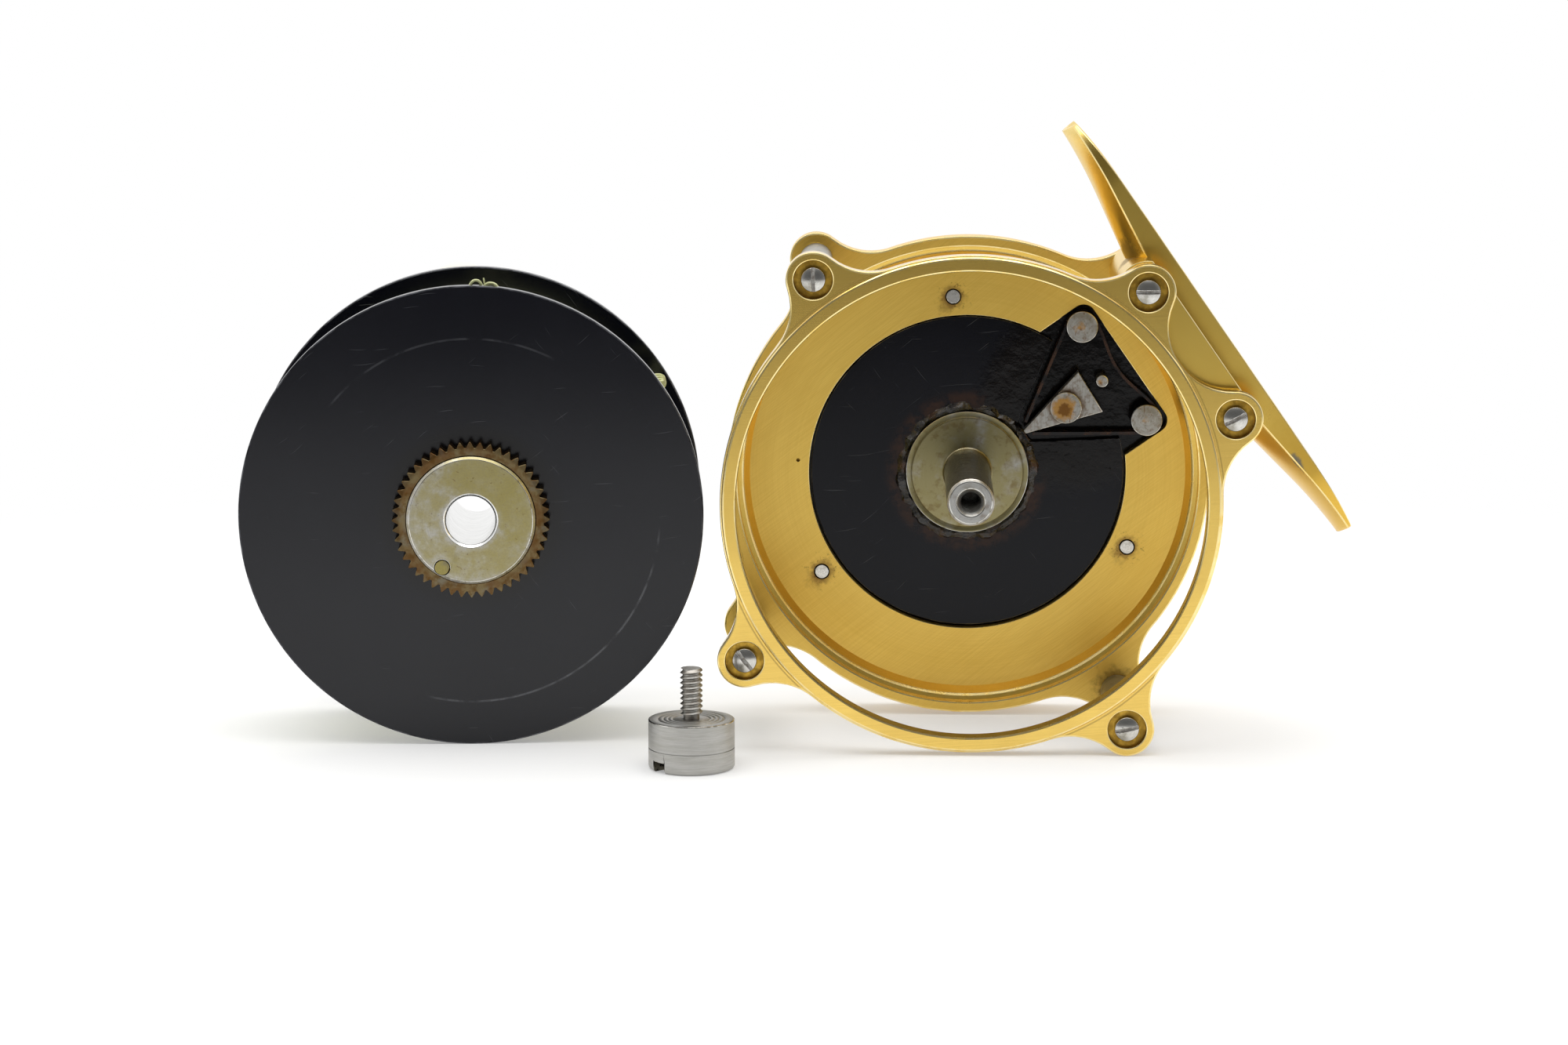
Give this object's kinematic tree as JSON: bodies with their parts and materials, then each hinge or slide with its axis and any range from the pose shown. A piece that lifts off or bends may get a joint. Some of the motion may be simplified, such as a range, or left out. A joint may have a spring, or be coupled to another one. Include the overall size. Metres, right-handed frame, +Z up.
{
  "type": "fly fishing reel",
  "caption": "Click-pawl fly reel taken apart: black spool, gold cage frame with foot, spindle and click, and the slotted screw that holds the spool.",
  "frame": {"origin": "on the bench, under the middle of the whole layout", "axes": "+X from the spool to the frame, +Y away from the viewer into the reel, +Z up"},
  "size_m": [0.1718, 0.0696, 0.0952],
  "materials": {
    "gold_anodised": "satin anodised",
    "black_anodised": "satin anodised",
    "plain_steel": "turned",
    "bright_steel": "polished",
    "oiled_steel": "oil film",
    "satin_aluminium": "satin",
    "brass": "dull",
    "line": "braided",
    "pale_plastic": "smooth"
  },
  "bodies": {
    "frame": {"back_cover": "black_anodised", "back_plate": "gold_anodised", "click_spring": "plain_steel", "cover_screw_1": "plain_steel", "cover_screw_2": "plain_steel", "cover_screw_3": "plain_steel", "front_ring": "gold_anodised", "pawl_stud": "oiled_steel", "pillar_1": "satin_aluminium", "pillar_2": "satin_aluminium", "pillar_3": "satin_aluminium", "plate_screw_1": "bright_steel", "plate_screw_2": "bright_steel", "plate_screw_3": "bright_steel", "plate_screw_4": "bright_steel", "plate_screw_5": "bright_steel", "reel_foot": "gold_anodised", "ring_screw_1": "bright_steel", "ring_screw_2": "bright_steel", "ring_screw_3": "bright_steel", "ring_screw_4": "bright_steel", "ring_screw_5": "bright_steel", "spindle": "plain_steel", "spindle_screw": "bright_steel", "spring_post_1": "plain_steel", "spring_post_2": "plain_steel", "stop_pin": "plain_steel"},
    "pawl": {"pawl": "plain_steel"},
    "spool": {"spool_body": "black_anodised", "ratchet_gear": "oiled_steel", "hub_bush": "oiled_steel", "hub_pin": "brass", "line_pack": "line", "handle_post": "plain_steel"},
    "knob": {"handle_knob": "pale_plastic"},
    "screw": {"spool_screw": "plain_steel"}
  },
  "joints": [
    {"name": "pawl_click", "type": "hinge", "parent": "frame", "child": "pawl", "pos_m": [0.04296, 0.01094, 0.04919], "axis": [0.0241, 0.9997, 0], "range_deg": [-14, 8], "stiffness_Nm_per_rad": 0.002, "deforming": ["click_spring"]},
    {"name": "spool_spin", "type": "hinge", "parent": "frame", "child": "spool", "pos_m": [-0.04927, -0.01228, 0.03551], "axis": [-0.0419, 0.9991, 0], "continuous": true},
    {"name": "knob_spin", "type": "hinge", "parent": "spool", "child": "knob", "pos_m": [-0.05319, 0.01618, 0.06382], "axis": [-0.0419, 0.9991, 0], "continuous": true},
    {"name": "screw_turn", "type": "hinge", "parent": "frame", "child": "screw", "pos_m": [-0.01538, -0.02828, 0], "axis": [0, 0, 1], "continuous": true}
  ]
}
